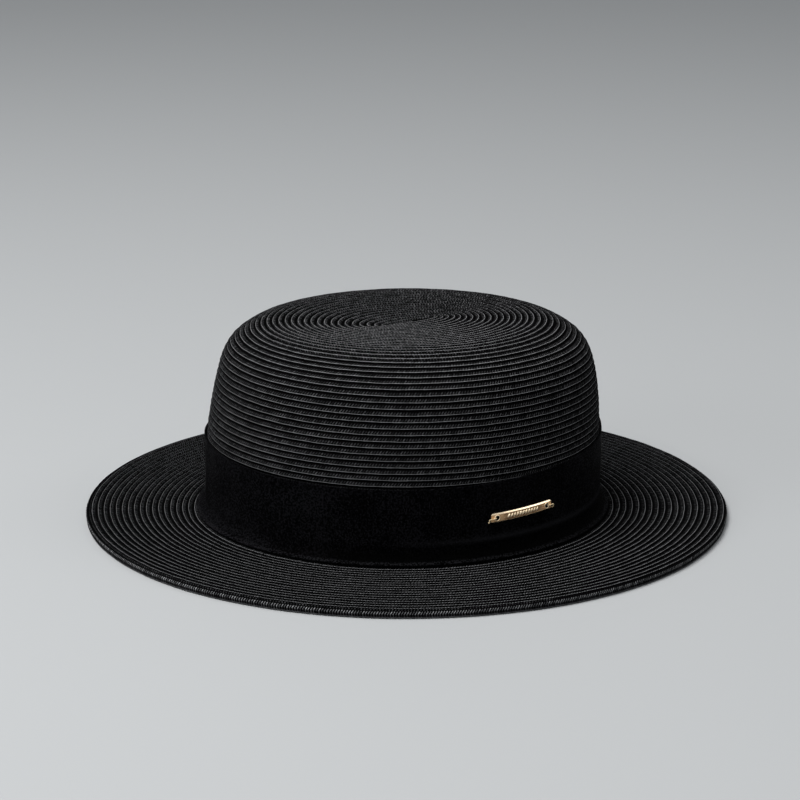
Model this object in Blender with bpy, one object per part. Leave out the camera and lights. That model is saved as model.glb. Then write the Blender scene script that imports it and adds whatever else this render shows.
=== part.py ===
"""Straw boater: a braided crown and brim, an edge braid on which the hat rests, a flat ribbon and a small metal plate.

Metres, +Z up. The origin is at the middle of the brim, on the level of its lowest edge.
+X runs along the hat's long axis, and the plate sits on the -Y side.
"""

import bpy
import numpy as np

# ------------------------------------------------------------------ sizes
HALF_LENGTH = 0.1024  # crown's outer face, along x
HALF_WIDTH = 0.0894  # crown's outer face, along y
CROWN_SHIFT = -0.0026  # crown's middle along x, from the brim's
STRAW = 0.0018  # thickness of the sewn braid
GAP = 0.0003  # between neighbouring pieces

BRIM_HALF_LENGTH = 0.1680  # outer rim, along x
BRIM_HALF_WIDTH = 0.1524  # outer rim, along y
BRIM_TOP_INNER = 0.0032  # height of the brim's upper face beside the bend
BRIM_TOP_RIM = 0.0047  # height of the brim's upper face at the rim
BEND = 0.0080  # radius of the bend from crown to brim, upper face

EDGE_WIDTH = 0.0022  # edge braid, seen from above
EDGE_ROUND = 0.0005

BAND_TOP = 0.0442  # mean height of the ribbon's upper edge
BAND_RISE_X = 0.0015  # how much higher that edge is at the +X end
BAND_RISE_Y = 0.0011  # and at the +Y side
BAND_RISE_ENDS = 0.0010  # and at both ends of the long axis
BAND_THICK = 0.0009
BAND_FLARE_DEG = 74.0  # how far the ribbon follows the bend
BAND_LAP = 0.024  # overlap of its two ends, along the ribbon
BAND_SEAM_DEG = 118.0  # where the lap sits, from +X towards +Y

PLATE_LONG = 0.0361
PLATE_HIGH = 0.0047
PLATE_THICK = 0.0008
PLATE_BEVEL = 0.0005
PLATE_DEG = -65.4  # from +X towards +Y
PLATE_MIDDLE = 0.0247  # height of its middle
PLATE_TILT_DEG = 1.7  # its +X end is higher
PLATE_HOLE = 0.0024
HOLE_INSET = 0.0030  # from the plate's end to the middle of its hole
PIN_WIRE = 0.00055
PIN_REACH = 0.0013  # from the plate's end to the middle of the wire beyond it
PIN_DROP = 0.0020  # how far down the wire's outer leg hangs

SEGMENTS = 84

# Crown's outer face above the ribbon: how far in from the foot, and height above the ribbon's upper edge
CROWN_SIDE = (
    ("inset", "rise"),
    (0.0000, 0.0000),
    (0.0010, 0.0120),
    (0.0026, 0.0240),
    (0.0044, 0.0330),
    (0.0066, 0.0410),
    (0.0104, 0.0480),
    (0.0166, 0.0533),
    (0.0233, 0.0568),
    (0.0300, 0.0588),
    (0.0370, 0.0594),
)
CROWN_DOME = -0.0008  # rise of the top's middle over its edge
SOFT_SIDE = 0.65  # how much more the -X wall leans in than the +X one, fading to none at the top


# ------------------------------------------------------------------ helpers
def clear():
    for obj in list(bpy.data.objects):
        bpy.data.objects.remove(obj, do_unlink=True)
    for mesh in list(bpy.data.meshes):
        bpy.data.meshes.remove(mesh)


def material(name, colour, metallic, roughness):
    mat = bpy.data.materials.new(name)
    mat.use_nodes = True
    shader = mat.node_tree.nodes["Principled BSDF"]
    shader.inputs["Base Color"].default_value = (*colour, 1.0)
    shader.inputs["Metallic"].default_value = metallic
    shader.inputs["Roughness"].default_value = roughness
    mat.diffuse_color = (*colour, 1.0)
    return mat


def add(name, points, faces, mat, smooth_deg=35.0):
    mesh = bpy.data.meshes.new(name)
    mesh.from_pydata([tuple(map(float, p)) for p in points], [], faces)
    mesh.validate()
    mesh.update()
    obj = bpy.data.objects.new(name, mesh)
    bpy.context.scene.collection.objects.link(obj)
    mesh.materials.append(mat)
    mesh.shade_smooth()
    mesh.set_sharp_from_angle(angle=np.radians(smooth_deg))
    return obj


def curve_through(xs, ys, at):
    """A monotone curve through the given points, at the wanted places."""
    xs, ys = np.asarray(xs, float), np.asarray(ys, float)
    h, slope = np.diff(xs), np.diff(ys) / np.diff(xs)
    m = np.zeros(len(xs))
    m[0], m[-1] = slope[0], slope[-1]
    for k in range(1, len(xs) - 1):
        if slope[k - 1] * slope[k] > 0:
            w1, w2 = 2 * h[k] + h[k - 1], h[k] + 2 * h[k - 1]
            m[k] = (w1 + w2) / (w1 / slope[k - 1] + w2 / slope[k])
    k = np.clip(np.searchsorted(xs, at, side="right") - 1, 0, len(h) - 1)
    t = (at - xs[k]) / h[k]
    return (
        (1 + 2 * t) * (1 - t) ** 2 * ys[k]
        + t * (1 - t) ** 2 * h[k] * m[k]
        + t * t * (3 - 2 * t) * ys[k + 1]
        + t * t * (t - 1) * h[k] * m[k + 1]
    )


def normals_of(path):
    """Unit normals of an open path of (out, height) points, to the left of its direction."""
    step = np.gradient(path, axis=0)
    step /= np.linalg.norm(step, axis=1)[:, None]
    return np.stack([-step[:, 1], step[:, 0]], 1)


def on_oval(angle, out, height, shift=CROWN_SHIFT):
    """A point out metres outside the crown's oval."""
    return (
        shift + (HALF_LENGTH + out) * np.cos(angle),
        (HALF_WIDTH + out) * np.sin(angle),
        height,
    )


def sew(loops, closed_section):
    """Faces between neighbouring sections, given as index rows, going round."""
    faces = []
    count = len(loops)
    for j in range(count):
        a, b = loops[j], loops[(j + 1) % count]
        n = len(a)
        for i in range(n if closed_section else n - 1):
            k = (i + 1) % n
            faces.append((a[i], a[k], b[k], b[i]))
    return faces


def ring_of(sections):
    """A closed ring: one closed loop of points for each angle."""
    count, n = len(sections), len(sections[0])
    points = np.concatenate(sections)
    loops = [list(range(j * n, (j + 1) * n)) for j in range(count)]
    return points, sew(loops, True)


# ------------------------------------------------------------------ crown
def crown_side(angle):
    """Outer face of the crown's side and shoulder at one angle, from the foot up: (out, height)."""
    inset = [row[0] for row in CROWN_SIDE[1:]]
    rise = [row[1] for row in CROWN_SIDE[1:]]
    way = np.concatenate([[0], np.cumsum(np.hypot(np.diff(inset), np.diff(rise)))])
    at = way[-1] * np.array([0, 0.17, 0.34, 0.46, 0.55, 0.62, 0.69, 0.76, 0.84, 0.92, 1.0])
    up = curve_through(way, rise, at)
    soft = 1.0 - SOFT_SIDE * (1 - up / rise[-1]) * np.cos(angle)
    out = -curve_through(way, inset, at) * soft
    height = BAND_TOP + up
    foot = BRIM_TOP_INNER + BEND + GAP
    return np.concatenate([[[0.0, foot], [0.0, 0.5 * (foot + BAND_TOP)]], np.stack([out, height], 1)])


def crown_solid(mat):
    angles = np.arange(SEGMENTS) * 2 * np.pi / SEGMENTS
    scale = (0.72, 0.4)
    outer, inner = [], []
    for angle in angles:
        side = crown_side(angle)
        for offset, rows in ((0.0, outer), (STRAW, inner)):
            path = side + offset * normals_of(side)
            path[0, 1] = side[0, 1]
            ring = [on_oval(angle, out, z) for out, z in path]
            edge = side[-1]
            for k in scale:
                x = (HALF_LENGTH + edge[0]) * np.cos(angle) * k
                y = (HALF_WIDTH + edge[0]) * np.sin(angle) * k
                ring.append((CROWN_SHIFT + x, y, edge[1] + CROWN_DOME * (1 - k * k) - offset))
            rows.append(ring)
    n = len(outer[0])
    points, faces = [], []
    for rows in (outer, inner):
        start = len(points)
        for ring in rows:
            points += ring
        top = len(points)
        z = BAND_TOP + CROWN_SIDE[-1][1] + CROWN_DOME - (STRAW if rows is inner else 0.0)
        points.append((CROWN_SHIFT, 0.0, z))
        for j in range(SEGMENTS):
            a, b = start + j * n, start + (j + 1) % SEGMENTS * n
            for i in range(n - 1):
                quad = (a + i, b + i, b + i + 1, a + i + 1)
                faces.append(quad if rows is outer else quad[::-1])
            tip = (a + n - 1, b + n - 1, top)
            faces.append(tip if rows is outer else tip[::-1])
    half = len(points) // 2
    for j in range(SEGMENTS):
        a, b = j * n, (j + 1) % SEGMENTS * n
        faces.append((a, half + a, half + b, b))
    return add("crown", points, faces, mat)


# ------------------------------------------------------------------ brim
def brim_place(angle, way, height):
    """A point on the brim: way 0 is the end of the bend, 1 the rim."""
    a = (HALF_LENGTH + BEND) * (1 - way) + BRIM_HALF_LENGTH * way
    b = (HALF_WIDTH + BEND) * (1 - way) + BRIM_HALF_WIDTH * way
    return (CROWN_SHIFT * (1 - way) + a * np.cos(angle), b * np.sin(angle), height)


def bend_arc(radius, degrees):
    """(out, height) on the bend from crown to brim, from its upper end."""
    turn = np.radians(degrees)
    return (
        BEND - radius * np.cos(turn),
        BRIM_TOP_INNER + BEND - radius * np.sin(turn),
    )


def brim_solid(mat):
    angles = np.arange(SEGMENTS) * 2 * np.pi / SEGMENTS
    reach = BRIM_HALF_WIDTH - HALF_WIDTH - BEND
    end = 1 - (EDGE_WIDTH + GAP) / reach
    sections = []
    for angle in angles:
        loop = [on_oval(angle, *bend_arc(BEND, turn)) for turn in (0, 22.5, 45, 67.5, 90)]
        for way in (0.5 * end, end):
            loop.append(brim_place(angle, way, BRIM_TOP_INNER + (BRIM_TOP_RIM - BRIM_TOP_INNER) * way))
        for way in (end, 0.5 * end):
            loop.append(brim_place(angle, way, BRIM_TOP_INNER + (BRIM_TOP_RIM - BRIM_TOP_INNER) * way - STRAW))
        loop += [on_oval(angle, *bend_arc(BEND + STRAW, turn)) for turn in (90, 67.5, 45, 22.5, 0)]
        sections.append(np.array(loop)[::-1])
    return add("brim", *ring_of(sections), mat)


def edge_solid(mat):
    angles = np.arange(SEGMENTS) * 2 * np.pi / SEGMENTS
    r, w, h = EDGE_ROUND, EDGE_WIDTH, BRIM_TOP_RIM
    section = ((-w, 0.0), (-r, 0.0), (0.0, r), (0.0, h - r), (-r, h), (-w, h))
    sections = []
    for angle in angles:
        loop = []
        for out, z in section:
            loop.append(
                ((BRIM_HALF_LENGTH + out) * np.cos(angle), (BRIM_HALF_WIDTH + out) * np.sin(angle), z)
            )
        sections.append(np.array(loop))
    return add("brim_edge", *ring_of(sections), mat)


# ------------------------------------------------------------------ ribbon
def band_path(angle, layer):
    """The ribbon's middle in section, from its upper edge down: (out, height). layer 1 lies over layer 0."""
    lift = GAP + BAND_THICK / 2 + layer * (BAND_THICK + GAP)
    top = BAND_TOP + BAND_RISE_X * np.cos(angle) + BAND_RISE_Y * np.sin(angle) + BAND_RISE_ENDS * np.cos(2 * angle)
    path = [(lift, z) for z in (top, 0.5 * (top + BRIM_TOP_INNER + BEND))]
    path += [bend_arc(BEND - lift, turn) for turn in np.linspace(0, BAND_FLARE_DEG, 5)]
    return np.array(path)


def band_solid(mat):
    around = np.pi * (HALF_LENGTH + HALF_WIDTH)
    lap = BAND_LAP / around * 2 * np.pi
    start = np.radians(BAND_SEAM_DEG)
    step = 2 * np.pi / SEGMENTS
    angles = [start + k * step for k in range(SEGMENTS)]
    angles += [start + 2 * np.pi + lap * f for f in (0.0, 0.5, 1.0)]
    rings = []
    for angle in angles:
        # The outer end starts to lift one lap before it reaches the inner end.
        t = np.clip((angle - start - 2 * np.pi + 1.2 * lap) / (1.2 * lap), 0.0, 1.0)
        path = band_path(angle, t * t * (3 - 2 * t))
        side = normals_of(path) * BAND_THICK / 2
        loop = np.concatenate([path + side, (path - side)[::-1]])
        rings.append(np.array([on_oval(angle, out, z) for out, z in loop]))
    n = len(rings[0])
    points = np.concatenate(rings)
    faces = []
    for j in range(len(rings) - 1):
        for i in range(n):
            k = (i + 1) % n
            faces.append((j * n + i, (j + 1) * n + i, (j + 1) * n + k, j * n + k))
    half = n // 2
    for j, flip in ((0, False), (len(rings) - 1, True)):
        for i in range(half - 1):
            quad = (j * n + i, j * n + i + 1, j * n + n - 2 - i, j * n + n - 1 - i)
            faces.append(quad[::-1] if flip else quad)
    return add("hat_band", points, faces, mat)


# ------------------------------------------------------------------ plate and its pins
def plate_frame():
    """Middle of the plate's back, and its directions: along, up, out of the ribbon."""
    angle = np.radians(PLATE_DEG)
    out = GAP + BAND_THICK + GAP
    a, b = HALF_LENGTH + out, HALF_WIDTH + out
    middle = np.array([CROWN_SHIFT + a * np.cos(angle), b * np.sin(angle), PLATE_MIDDLE])
    along = np.array([-a * np.sin(angle), b * np.cos(angle), 0.0])
    speed = np.linalg.norm(along)
    radius = speed**3 / (a * b)
    along /= speed
    outward = np.array([along[1], -along[0], 0.0])
    return middle, along, outward, radius


def wrapped(flat):
    """Carries (along, up, out) from the flat plate to the ribbon's round."""
    middle, along, outward, radius = plate_frame()
    centre = middle - outward * radius
    points = []
    for s, up, out in flat:
        turn = s / radius
        reach = (radius + out) * (np.cos(turn) * outward + np.sin(turn) * along)
        points.append(centre + reach + np.array([0.0, 0.0, up + s * np.tan(np.radians(PLATE_TILT_DEG))]))
    return points


def plate_solid(mat):
    """A bar with rounded corners, a hole near each end and a bevelled face."""
    half, tall = PLATE_LONG / 2, PLATE_HIGH / 2
    hole_at, hole = half - HOLE_INSET, PLATE_HOLE / 2
    corner = 0.0011
    bevel = PLATE_BEVEL
    count = 12

    def end_ring(sign):
        """Outer outline of one end square, from the inner lower corner round to the inner upper one, and its hole."""
        outer, inner = [], []
        turns = np.radians(np.linspace(-135, 135, count + 1))
        for turn in turns:
            c, s = np.cos(turn), np.sin(turn)
            scale = tall / max(abs(c), abs(s))
            x, y = scale * c, scale * s
            cx, cy = HOLE_INSET - corner, tall - corner
            x = min(x * HOLE_INSET / tall, HOLE_INSET) if x > 0 else x
            if x > cx and abs(y) > cy:
                d = np.hypot(x - cx, abs(y) - cy)
                x, y = cx + (x - cx) * corner / d, np.sign(y) * (cy + (abs(y) - cy) * corner / d)
            outer.append((sign * (hole_at + x), y))
            inner.append((sign * (hole_at + hole * c), hole * s))
        rest = np.radians([135, 162, 180, 198, 225])
        inner_rest = [(sign * (hole_at + hole * np.cos(t)), hole * np.sin(t)) for t in rest[1:-1]]
        return outer, inner, inner_rest

    faces2, points2 = [], []

    def put(p):
        points2.append(p)
        return len(points2) - 1

    right = end_ring(1)
    left = end_ring(-1)
    ends = {}
    for name, (outer, inner, rest) in (("right", right), ("left", left)):
        o = [put(p) for p in outer]
        i = [put(p) for p in inner]
        r = [put(p) for p in rest]
        ends[name] = (o, i, r)
        quads = [(o[k], o[k + 1], i[k + 1], i[k]) for k in range(len(o) - 1)]
        # the side that faces the middle of the bar
        quads += [(o[-1], r[0], i[-1]), (r[2], o[0], i[0]), (o[-1], o[0], r[2], r[1], r[0])]
        faces2 += quads if name == "right" else [q[::-1] for q in quads]
    # the bar between the two ends
    cols = np.linspace(hole_at - tall, -(hole_at - tall), 9)
    low = [ends["right"][0][0]] + [put((x, -tall)) for x in cols[1:-1]] + [ends["left"][0][0]]
    high = [ends["right"][0][-1]] + [put((x, tall)) for x in cols[1:-1]] + [ends["left"][0][-1]]
    for k in range(len(cols) - 1):
        faces2.append((low[k], high[k], high[k + 1], low[k + 1]))
    outline = (
        ends["right"][0][:]
        + high[1:-1]
        + ends["left"][0][::-1]
        + low[1:-1][::-1]
    )
    round_right = ends["right"][1] + ends["right"][2]
    round_left = (ends["left"][1] + ends["left"][2])[::-1]

    n = len(points2)
    flat = np.array(points2)
    shrink = flat.copy()
    on_outline = np.zeros(n, bool)
    on_outline[outline] = True
    middle_line = np.clip(flat[:, 0], -(half - tall), half - tall)
    away = flat - np.stack([middle_line, np.zeros(n)], 1)
    away /= np.maximum(np.linalg.norm(away, axis=1), 1e-9)[:, None]
    shrink[on_outline] -= bevel * away[on_outline]
    layers = [(flat, 0.0), (flat, PLATE_THICK - bevel), (shrink, PLATE_THICK)]
    points = [(x, y, z) for layer, z in layers for x, y in layer]
    faces = [tuple(q[::-1]) for q in faces2]
    faces += [tuple(2 * n + i for i in q) for q in faces2]

    def walls(loop, low_layer, high_layer, flip):
        for a, b in zip(loop, loop[1:] + loop[:1]):
            quad = (low_layer * n + a, low_layer * n + b, high_layer * n + b, high_layer * n + a)
            faces.append(quad[::-1] if flip else quad)

    walls(outline, 0, 1, False)
    walls(outline, 1, 2, False)
    walls(round_right, 0, 1, True)
    walls(round_right, 1, 2, True)
    walls(round_left, 0, 1, True)
    walls(round_left, 1, 2, True)
    return add("name_plate", wrapped(points), faces, mat, 30.0)


def pin_solid(name, sign, mat):
    """A wire staple from the plate's hole, over its end, then down and in to the ribbon."""
    r = PIN_WIRE / 2
    inside = PLATE_LONG / 2 - HOLE_INSET + PLATE_HOLE / 2 - r - GAP  # against the hole's outer side
    top = PLATE_THICK + GAP + r
    end = PLATE_LONG / 2 + PIN_REACH
    # along the plate, up, and out from the plate's back
    path = np.array(
        (
            (inside, 0.0, -0.00005),
            (inside, 0.0, top - 0.0004),
            (inside + 0.0003, 0.0, top),
            (end - 0.0004, 0.0, top),
            (end, -0.0004, top - 0.0001),
            (end + 0.0001, -PIN_DROP + 0.0005, top - 0.0003),
            (end, -PIN_DROP, top - 0.0007),
            (end, -PIN_DROP, -0.00005),
        )
    )
    path[:, 0] *= sign
    steps = np.gradient(path, axis=0)
    steps /= np.linalg.norm(steps, axis=1)[:, None]
    side = np.array([0.0, 1.0, 0.0])
    points, faces, sides = [], [], 8
    for middle, step in zip(path, steps):
        side = side - side.dot(step) * step
        side /= np.linalg.norm(side)
        across = np.cross(step, side)
        for k in range(sides):
            turn = 2 * np.pi * k / sides
            points.append(tuple(middle + r * (np.cos(turn) * side + np.sin(turn) * across)))
    rows = len(path)
    for j in range(rows - 1):
        for k in range(sides):
            m = (k + 1) % sides
            faces.append((j * sides + k, j * sides + m, (j + 1) * sides + m, (j + 1) * sides + k))
    faces.append(tuple(range(sides))[::-1])
    faces.append(tuple((rows - 1) * sides + k for k in range(sides)))
    return add(name, wrapped(points), faces, mat, 50.0)


def outward(obj):
    """Turns a mesh's faces outwards if its volume comes out negative."""
    mesh = obj.data
    mesh.calc_loop_triangles()
    co = np.array([v.co for v in mesh.vertices])
    tri = np.array([t.vertices for t in mesh.loop_triangles])
    a, b, c = co[tri[:, 0]], co[tri[:, 1]], co[tri[:, 2]]
    if (a * np.cross(b, c)).sum() < 0:
        mesh.flip_normals()


def main():
    clear()
    straw = material("straw_black", (0.020, 0.019, 0.020), 0.0, 0.48)
    edge = material("straw_edge", (0.024, 0.022, 0.022), 0.0, 0.5)
    ribbon = material("ribbon_black", (0.012, 0.012, 0.015), 0.0, 0.75)
    gold = material("pale_gold", (0.86, 0.68, 0.52), 1.0, 0.28)
    wire = material("gold_wire", (0.80, 0.60, 0.42), 1.0, 0.3)
    made = [
        crown_solid(straw),
        brim_solid(straw),
        edge_solid(edge),
        band_solid(ribbon),
        plate_solid(gold),
        pin_solid("plate_pin_left", -1.0, wire),
        pin_solid("plate_pin_right", 1.0, wire),
    ]
    for obj in made:
        outward(obj)


main()
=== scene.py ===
"""Looks of the straw boater: sewn rows of braid, an edge braid, a woven ribbon and a gilt plate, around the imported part."""

import math

import bmesh
import bpy
import numpy as np
from mathutils import Matrix


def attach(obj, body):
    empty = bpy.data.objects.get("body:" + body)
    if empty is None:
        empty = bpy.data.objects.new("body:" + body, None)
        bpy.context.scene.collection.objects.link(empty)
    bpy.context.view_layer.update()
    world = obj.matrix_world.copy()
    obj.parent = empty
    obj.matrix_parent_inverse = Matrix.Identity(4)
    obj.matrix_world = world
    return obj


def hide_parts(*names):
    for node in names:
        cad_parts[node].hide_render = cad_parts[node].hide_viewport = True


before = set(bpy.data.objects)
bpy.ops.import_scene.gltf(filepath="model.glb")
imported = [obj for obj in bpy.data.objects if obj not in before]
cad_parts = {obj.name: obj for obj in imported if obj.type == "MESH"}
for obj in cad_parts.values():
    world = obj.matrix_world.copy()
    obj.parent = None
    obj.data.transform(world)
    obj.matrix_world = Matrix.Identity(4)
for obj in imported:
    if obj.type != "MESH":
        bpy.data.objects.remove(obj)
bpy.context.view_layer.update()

# ------------------------------------------------------------------ the part's own sizes, metres
HALF_LENGTH, HALF_WIDTH, CROWN_SHIFT = 0.1024, 0.0894, -0.0026
GAP = 0.0003
BRIM_HALF_LENGTH, BRIM_HALF_WIDTH = 0.1680, 0.1524
BRIM_TOP_INNER, BRIM_TOP_RIM, BEND = 0.0032, 0.0047, 0.0080
BAND_TOP, BAND_RISE_X, BAND_RISE_Y, BAND_RISE_ENDS = 0.0442, 0.0015, 0.0011, 0.0010
BAND_FLARE_DEG, BAND_LAP, BAND_SEAM_DEG = 74.0, 0.024, 118.0
PLATE_LONG, PLATE_HIGH, PLATE_THICK, PLATE_HOLE, HOLE_INSET = 0.0361, 0.0047, 0.0008, 0.0024, 0.0030
PLATE_DEG, PLATE_MIDDLE, PLATE_TILT_DEG = -65.4, 0.0247, 1.7
BAND_THICK = 0.0009
SOFT_SIDE = 0.65

# Crown's outer face from the middle of its top to its foot: how far in, and height above the ribbon's upper edge
CROWN_WAY = (
    ("inset", "rise"),
    (0.0894, 0.0586),
    (0.0700, 0.0587),
    (0.0520, 0.0591),
    (0.0370, 0.0594),
    (0.0300, 0.0588),
    (0.0233, 0.0568),
    (0.0166, 0.0533),
    (0.0104, 0.0480),
    (0.0066, 0.0410),
    (0.0044, 0.0330),
    (0.0026, 0.0240),
    (0.0010, 0.0120),
    (0.0000, 0.0000),
    (0.0000, -0.0160),
    (0.0000, -0.0327),
)
SWIRL_SHIFT = (0.0028, -0.0039)  # where the spiral starts, from the crown's middle
SWIRL_DEG = 24.0  # how far the first turns of the spiral are turned from the crown's length

# ------------------------------------------------------------------ braid
PITCH = 0.00319  # from one sewn row to the next
STROKE = 0.00147  # from one straw to the next, along the row
# One straw in section, along the row: the groove beside it and its two shoulders
STRAW_SHAPE = (("along", "height"), (0.00, -1.25), (0.30, 0.70), (0.70, 0.55))
# One row in section: way across the row, height over the part's face, how high each straw stands, and how far along the
# row the straw has run, in millimetres. The last three lines are the bead where the straws turn back.
ROW = (
    ("way", "height", "straw", "run"),
    (-0.06, -1.20, 0.05, 1.15),
    (0.20, -0.66, 0.22, 0.75),
    (0.72, -0.44, 0.22, -0.45),
    (0.82, 0.02, 0.06, -0.20),
    (0.94, -0.06, 0.06, 0.20),
    (1.01, -1.00, 0.00, 0.30),
)
# The last row before the rim dips to the edge braid.
RIM_ROW = (
    ("way", "height", "straw", "run"),
    (-0.06, -1.20, 0.05, 1.15),
    (0.20, -0.86, 0.22, 0.75),
    (0.40, -0.55, 0.22, -0.20),
    (0.47, -0.62, 0.10, -0.40),
    (0.53, -1.60, 0.00, -0.45),
)
# Where a row ends at an opening, its edge turns in.
HEM = (
    ("way", "height", "straw", "run"),
    (0.60, -0.45, 0.00, 0.00),
    (0.95, -0.55, 0.00, 0.00),
    (1.03, -1.10, 0.00, 0.00),
    (0.95, -1.80, 0.00, 0.00),
    (0.60, -1.95, 0.00, 0.00),
)
# The same row from its back, seen inside the hat: plain, without single straws.
BACK = (
    ("way", "height", "straw", "run"),
    (-0.06, -1.55, 0.00, 0.00),
    (0.14, -2.02, 0.00, 0.00),
    (0.80, -1.92, 0.00, 0.00),
    (1.02, -1.50, 0.00, 0.00),
)


def through(xs, ys, at):
    """A smooth curve without overshoot through the given points."""
    xs, ys = np.asarray(xs, float), np.asarray(ys, float)
    h, slope = np.diff(xs), np.diff(ys) / np.diff(xs)
    m = np.zeros(len(xs))
    m[0], m[-1] = slope[0], slope[-1]
    for k in range(1, len(xs) - 1):
        if slope[k - 1] * slope[k] > 0:
            w1, w2 = 2 * h[k] + h[k - 1], h[k] + 2 * h[k - 1]
            m[k] = (w1 + w2) / (w1 / slope[k - 1] + w2 / slope[k])
    at = np.clip(at, xs[0], xs[-1])
    k = np.clip(np.searchsorted(xs, at, side="right") - 1, 0, len(h) - 1)
    t = (at - xs[k]) / h[k]
    return (
        (1 + 2 * t) * (1 - t) ** 2 * ys[k]
        + t * (1 - t) ** 2 * h[k] * m[k]
        + t * t * (3 - 2 * t) * ys[k + 1]
        + t * t * (t - 1) * h[k] * m[k + 1]
    )


INSET = np.array([r[0] for r in CROWN_WAY[1:]])
RISE = np.array([r[1] for r in CROWN_WAY[1:]])
WAY = np.concatenate([[0], np.cumsum(np.hypot(np.diff(INSET), np.diff(RISE)))])
TOP = RISE.max()


def crown_at(turn, way):
    """A point of the crown's outer face: turn round the hat, way from the middle of the top down."""
    inset, rise = through(WAY, INSET, way), through(WAY, RISE, way)
    over = np.maximum(way - WAY[-1], 0.0)
    fade = np.clip((0.060 - inset) / 0.030, 0, 1)
    soft = 1 - SOFT_SIDE * fade * (1 - np.clip(rise / TOP, 0, 1)) * np.cos(turn)
    near = np.clip(1 - (HALF_WIDTH - inset) / 0.050, 0, 1) ** 2
    x, y = (HALF_LENGTH - inset * soft) * np.cos(turn), (HALF_WIDTH - inset * soft) * np.sin(turn)
    c, s = np.cos(near * math.radians(SWIRL_DEG)), np.sin(near * math.radians(SWIRL_DEG))
    return np.stack(
        [
            CROWN_SHIFT + near * SWIRL_SHIFT[0] + c * x - s * y,
            near * SWIRL_SHIFT[1] + s * x + c * y,
            BAND_TOP + rise - over,
        ],
        -1,
    )


BEND_WAY = BEND * math.pi / 2
BRIM_REACH = 0.5 * (BRIM_HALF_LENGTH - HALF_LENGTH + BRIM_HALF_WIDTH - HALF_WIDTH) - BEND


def brim_at(turn, way):
    """A point of the brim's upper face: way from the upper end of the bend, out to the rim."""
    round_ = np.clip(way / BEND, 0, math.pi / 2)
    flat = np.maximum((way - BEND_WAY) / BRIM_REACH, 0.0)
    a = HALF_LENGTH + BEND * (1 - np.cos(round_)) + (BRIM_HALF_LENGTH - HALF_LENGTH - BEND) * flat
    b = HALF_WIDTH + BEND * (1 - np.cos(round_)) + (BRIM_HALF_WIDTH - HALF_WIDTH - BEND) * flat
    z = BRIM_TOP_INNER + BEND * (1 - np.sin(round_)) + (BRIM_TOP_RIM - BRIM_TOP_INNER) * flat
    return np.stack([CROWN_SHIFT * (1 - np.minimum(flat, 1)) + a * np.cos(turn), b * np.sin(turn), z], -1)


def normal_of(face, turn, way):
    """The face's unit normal, on the outside of the hat."""
    e = 1e-4
    along = face(turn + e / 0.1, way) - face(turn - e / 0.1, way)
    down = face(turn, way + e) - face(turn, way - e)
    n = np.cross(down, along)
    length = np.linalg.norm(n, axis=-1, keepdims=True)
    up = np.zeros_like(n)
    up[..., 2] = 1.0
    n = np.where(length > 1e-13, n / np.maximum(length, 1e-13), up)
    return n


def unevenness(length, waves, seed):
    """Hand-sewn unevenness along a row, about -1 to 1."""
    rng = np.random.default_rng(seed)
    total = np.zeros_like(length)
    for wave in waves:
        total += np.sin(2 * math.pi * length / wave + rng.uniform(0, 2 * math.pi))
    return total / max(len(waves), 1) ** 0.5


def grid_mesh(name, points, uv=None, wrap_u=False, wrap_v=False, flip=False):
    """A smooth mesh from a grid of points, rows along the first axis."""
    nu, nv = points.shape[:2]
    iu = np.arange(nu if wrap_u else nu - 1)
    iv = np.arange(nv if wrap_v else nv - 1)
    a, b = np.meshgrid(iu, iv, indexing="ij")
    a2, b2 = (a + 1) % nu, (b + 1) % nv
    quads = np.stack([a * nv + b, a2 * nv + b, a2 * nv + b2, a * nv + b2], -1).reshape(-1, 4)
    if flip:
        quads = quads[:, ::-1]
    return points.reshape(-1, 3), quads, None if uv is None else uv.reshape(-1, 2)


def build(name, parts, mat, smooth=True):
    """One mesh object from several (points, quads, uv) parts."""
    points, quads, uvs, start = [], [], [], 0
    for p, q, uv in parts:
        points.append(p)
        quads.append(q + start)
        uvs.append(np.zeros((len(p), 2)) if uv is None else uv)
        start += len(p)
    points, quads, uvs = np.concatenate(points), np.concatenate(quads), np.concatenate(uvs)
    mesh = bpy.data.meshes.new(name)
    mesh.vertices.add(len(points))
    mesh.vertices.foreach_set("co", points.astype(np.float32).ravel())
    mesh.loops.add(quads.size)
    mesh.loops.foreach_set("vertex_index", quads.astype(np.int32).ravel())
    mesh.polygons.add(len(quads))
    mesh.polygons.foreach_set("loop_start", np.arange(0, quads.size, 4, dtype=np.int32))
    mesh.polygons.foreach_set("loop_total", np.full(len(quads), 4, np.int32))
    layer = mesh.uv_layers.new(name="weave")
    layer.data.foreach_set("uv", uvs[quads.ravel()].astype(np.float32).ravel())
    mesh.update(calc_edges=True)
    mesh.validate()
    if smooth:
        mesh.shade_smooth()
    mesh.materials.append(mat)
    obj = bpy.data.objects.new(name, mesh)
    bpy.context.scene.collection.objects.link(obj)
    return obj


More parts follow.
